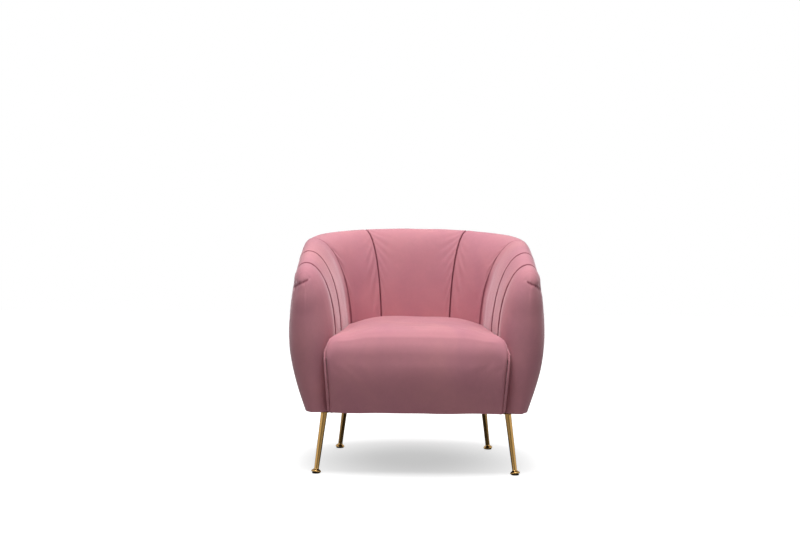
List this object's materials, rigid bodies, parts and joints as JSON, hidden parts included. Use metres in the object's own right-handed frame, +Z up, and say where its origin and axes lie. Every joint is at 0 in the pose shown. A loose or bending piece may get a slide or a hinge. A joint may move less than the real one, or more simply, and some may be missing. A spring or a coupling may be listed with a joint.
{
  "type": "tub armchair",
  "caption": "Tub armchair with pleated padded arms and back in velvet, a rounded seat and slim splayed metal legs with disc feet.",
  "frame": {"origin": "on the floor under the middle of the chair's bounding box", "axes": "+Z up; the chair faces -Y; +X is to the right when looking along +Y at its front"},
  "size_m": [0.8156, 0.6993, 0.753],
  "materials": {
    "velvet": "dusty pink cut velvet",
    "foam": "upholstery foam, off-white",
    "felt": "grey needled felt",
    "timber": "planed softwood",
    "plywood": "birch plywood",
    "brass": "polished gold-coloured metal",
    "steel": "zinc-plated steel",
    "plastic": "black plastic",
    "lining": "black non-woven lining"
  },
  "bodies": {
    "root": {"arm_front_pad_left": "velvet", "arm_front_pad_right": "velvet", "arm_front_rib_left": "plywood", "arm_front_rib_right": "plywood", "arm_pleat_front_left": "velvet", "arm_pleat_front_right": "velvet", "arm_pleat_rear_left": "velvet", "arm_pleat_rear_right": "velvet", "arm_rib_left": "plywood", "arm_rib_right": "plywood", "arm_top_rail_left": "plywood", "arm_top_rail_right": "plywood", "back_corner_block_left": "timber", "back_corner_block_right": "timber", "back_rail": "timber", "back_rib_left": "plywood", "back_rib_right": "plywood", "back_top_rail": "plywood", "corner_rib_left": "plywood", "corner_rib_right": "plywood", "dust_cover": "lining", "front_corner_block_left": "timber", "front_corner_block_right": "timber", "front_rail": "timber", "glide_back_left": "plastic", "glide_back_right": "plastic", "glide_front_left": "plastic", "glide_front_right": "plastic", "inside_back_pad_centre": "velvet", "inside_back_pad_side_left": "velvet", "inside_back_pad_side_right": "velvet", "leg_back_left": "brass", "leg_back_right": "brass", "leg_front_left": "brass", "leg_front_right": "brass", "leg_screw_back_left_1": "steel", "leg_screw_back_left_2": "steel", "leg_screw_back_right_1": "steel", "leg_screw_back_right_2": "steel", "leg_screw_front_left_1": "steel", "leg_screw_front_left_2": "steel", "leg_screw_front_right_1": "steel", "leg_screw_front_right_2": "steel", "outside_arm_cover_left": "velvet", "outside_arm_cover_right": "velvet", "outside_back_cover": "velvet", "seat_cover": "velvet", "seat_felt": "felt", "seat_foam": "foam", "seat_piping_left": "velvet", "seat_piping_right": "velvet", "seat_spring_1": "steel", "seat_spring_2": "steel", "seat_spring_3": "steel", "seat_spring_4": "steel", "seat_spring_5": "steel", "side_rail_left": "timber", "side_rail_right": "timber"}
  },
  "joints": []
}
